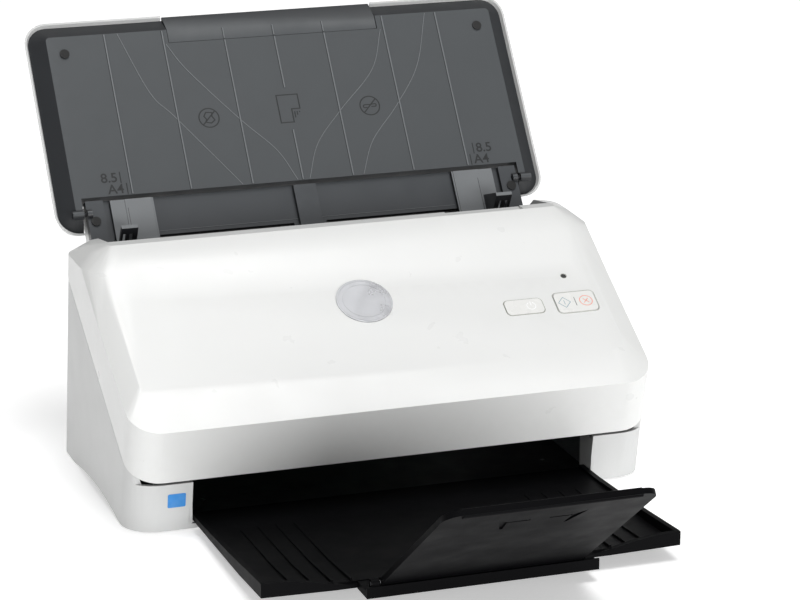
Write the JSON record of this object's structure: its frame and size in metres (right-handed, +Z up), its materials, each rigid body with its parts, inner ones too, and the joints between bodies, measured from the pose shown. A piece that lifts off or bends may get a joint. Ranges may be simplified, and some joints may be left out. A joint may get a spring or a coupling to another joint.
{
  "type": "sheet fed document scanner",
  "caption": "Desktop sheet fed scanner: tilted clamshell body with keys, folding input tray with sliding paper guides, sliding output tray with a hinged flap, and a geared roller drive.",
  "frame": {"origin": "middle of the bounding box at the resting plane under the feet, with both trays open", "axes": "+X to the right seen from the front, +Y to the back, +Z up; the front with the output tray faces -Y"},
  "size_m": [0.3, 0.4745, 0.233],
  "materials": {
    "white_plastic": "satin fine texture",
    "face_plastic": "smooth satin",
    "panel_plastic": "fine texture",
    "chute_plastic": "fine texture",
    "tray_plastic": "fine texture",
    "inner_plastic": "moulded",
    "key_plastic": "smooth",
    "rubber": "moulded",
    "roller_rubber": "ground",
    "steel": "ground",
    "spring_steel": "drawn",
    "gear_plastic": "moulded",
    "brass": "machined",
    "glass": "clear",
    "board": "solder mask",
    "motor_case": "zinc plated",
    "badge": "satin",
    "chassis_steel": "pressed sheet"
  },
  "bodies": {
    "body": {"base_shell": "white_plastic", "rear_cover": "white_plastic", "chute_back": "white_plastic", "bottom_plate": "inner_plastic", "rubber_feet": "rubber", "left_side_plate": "chassis_steel", "right_side_plate": "chassis_steel", "lower_guide": "inner_plastic", "paper_chute": "chute_plastic", "chute_bumpers": "rubber", "motor": "motor_case", "lower_scan_bar": "inner_plastic", "lower_scan_glass": "glass", "main_board": "board", "usb_port": "steel", "power_inlet": "inner_plastic", "shell_screws": "steel"},
    "cover": {"front_cover": "face_plastic", "cover_inner_frame": "inner_plastic", "upper_scan_bar": "inner_plastic", "upper_scan_glass": "glass", "separation_shaft": "steel", "cover_hinge_pins": "steel", "latch_spring": "spring_steel", "key_pivot": "steel", "status_lamp": "inner_plastic", "key_board": "board", "round_badge": "badge"},
    "latch": {"cover_latch": "white_plastic"},
    "power_key": {"power_key": "key_plastic"},
    "scan_key": {"scan_cancel_key": "key_plastic"},
    "separation": {"separation_roller": "roller_rubber"},
    "feed_pinch": {"feed_pinch_rollers": "roller_rubber"},
    "exit_pinch": {"exit_pinch_rollers": "roller_rubber"},
    "input_tray": {"input_tray_shell": "white_plastic", "input_tray_panel": "panel_plastic", "tray_bumpers": "rubber", "tray_hinge_pins": "steel"},
    "extension": {"tray_extension": "panel_plastic"},
    "out_tray": {"output_tray": "tray_plastic", "flap_pins": "steel"},
    "flap": {"output_flap": "tray_plastic"},
    "guide_left": {"left_guide": "chute_plastic"},
    "guide_right": {"right_guide": "chute_plastic"},
    "pinion": {"guide_pinion": "gear_plastic"},
    "pick": {"pick_shaft": "steel", "pick_rollers": "roller_rubber", "pick_gear": "gear_plastic"},
    "feed": {"feed_shaft": "steel", "feed_rollers": "roller_rubber", "feed_gear": "gear_plastic"},
    "exit": {"exit_shaft": "steel", "exit_rollers": "roller_rubber", "exit_gear": "gear_plastic"},
    "upper_idler": {"upper_idler_gear": "gear_plastic"},
    "lower_idler": {"lower_idler_gear": "gear_plastic"},
    "motor_drive": {"motor_pinion": "brass"},
    "sensor": {"sensor_lever": "inner_plastic"}
  },
  "joints": [
    {"name": "cover_hinge", "type": "hinge", "parent": "body", "child": "cover", "pos_m": [0, -0.0056, 0.032], "axis": [1, 0, 0], "range_deg": [0, 75]},
    {"name": "latch_slide", "type": "slide", "parent": "cover", "child": "latch", "axis": [0, 0, -1], "range_m": [0, 0.002], "stiffness_N_per_m": 400},
    {"name": "power_press", "type": "slide", "parent": "cover", "child": "power_key", "axis": [0, 0.512, -0.859], "range_m": [0, 0.0008], "stiffness_N_per_m": 500},
    {"name": "scan_rock", "type": "hinge", "parent": "cover", "child": "scan_key", "pos_m": [0.1211, 0.03846, 0.08909], "axis": [0, -0.859, -0.512], "range_deg": [-1.5, 1.5], "stiffness_Nm_per_rad": 0.5},
    {"name": "separation_spin", "type": "hinge", "parent": "cover", "child": "separation", "pos_m": [0, 0.09927, 0.09938], "axis": [1, 0, 0], "continuous": true},
    {"name": "feed_pinch_spin", "type": "hinge", "parent": "cover", "child": "feed_pinch", "pos_m": [0, 0.05983, 0.07179], "axis": [1, 0, 0], "continuous": true},
    {"name": "exit_pinch_spin", "type": "hinge", "parent": "cover", "child": "exit_pinch", "pos_m": [0, 0.0186, 0.04722], "axis": [1, 0, 0], "continuous": true},
    {"name": "tray_fold", "type": "hinge", "parent": "body", "child": "input_tray", "pos_m": [0, 0.1544, 0.1374], "axis": [-1, 0, 0], "range_deg": [-128.4, 0]},
    {"name": "extension_slide", "type": "slide", "parent": "input_tray", "child": "extension", "axis": [0, 0.6004, 0.7997], "range_m": [0, 0.08]},
    {"name": "output_tray_slide", "type": "slide", "parent": "body", "child": "out_tray", "axis": [0, -1, 0], "range_m": [-0.118, 0]},
    {"name": "flap_fold", "type": "hinge", "parent": "out_tray", "child": "flap", "pos_m": [0, -0.1395, 0.0134], "axis": [1, 0, 0], "range_deg": [-142, 0]},
    {"name": "left_guide_slide", "type": "slide", "parent": "body", "child": "guide_left", "axis": [1, 0, 0], "range_m": [0, 0.08]},
    {"name": "right_guide_slide", "type": "slide", "parent": "body", "child": "guide_right", "axis": [1, 0, 0], "range_m": [-0.08, 0]},
    {"name": "guide_pinion_turn", "type": "hinge", "parent": "body", "child": "pinion", "pos_m": [0, 0.15101, 0.11957], "axis": [0, -0.7997, 0.6004], "range_deg": [-575, 1]},
    {"name": "feed_spin", "type": "hinge", "parent": "body", "child": "feed", "pos_m": [0, 0.0669, 0.05994], "axis": [1, 0, 0], "continuous": true},
    {"name": "pick_spin", "type": "hinge", "parent": "body", "child": "pick", "pos_m": [0, 0.10813, 0.08452], "axis": [1, 0, 0], "continuous": true},
    {"name": "exit_spin", "type": "hinge", "parent": "body", "child": "exit", "pos_m": [0, 0.02567, 0.03536], "axis": [1, 0, 0], "continuous": true},
    {"name": "upper_idler_spin", "type": "hinge", "parent": "body", "child": "upper_idler", "pos_m": [0, 0.08751, 0.07223], "axis": [1, 0, 0], "continuous": true},
    {"name": "lower_idler_spin", "type": "hinge", "parent": "body", "child": "lower_idler", "pos_m": [0, 0.04628, 0.04765], "axis": [1, 0, 0], "continuous": true},
    {"name": "motor_spin", "type": "hinge", "parent": "body", "child": "motor_drive", "pos_m": [0, 0.09673, 0.05677], "axis": [1, 0, 0], "continuous": true},
    {"name": "sensor_swing", "type": "hinge", "parent": "body", "child": "sensor", "pos_m": [0.05, 0.08751, 0.07223], "axis": [-1, 0, 0], "range_deg": [0, 15], "stiffness_Nm_per_rad": 0.002}
  ],
  "couplings": [
    {"joint": "right_guide_slide", "follows": "left_guide_slide", "ratio": -1},
    {"joint": "guide_pinion_turn", "follows": "left_guide_slide", "rad_per_m": -125},
    {"joint": "pick_spin", "follows": "feed_spin", "ratio": 1},
    {"joint": "exit_spin", "follows": "feed_spin", "ratio": 1},
    {"joint": "upper_idler_spin", "follows": "feed_spin", "ratio": -1},
    {"joint": "lower_idler_spin", "follows": "feed_spin", "ratio": -1},
    {"joint": "motor_spin", "follows": "feed_spin", "ratio": 2}
  ]
}
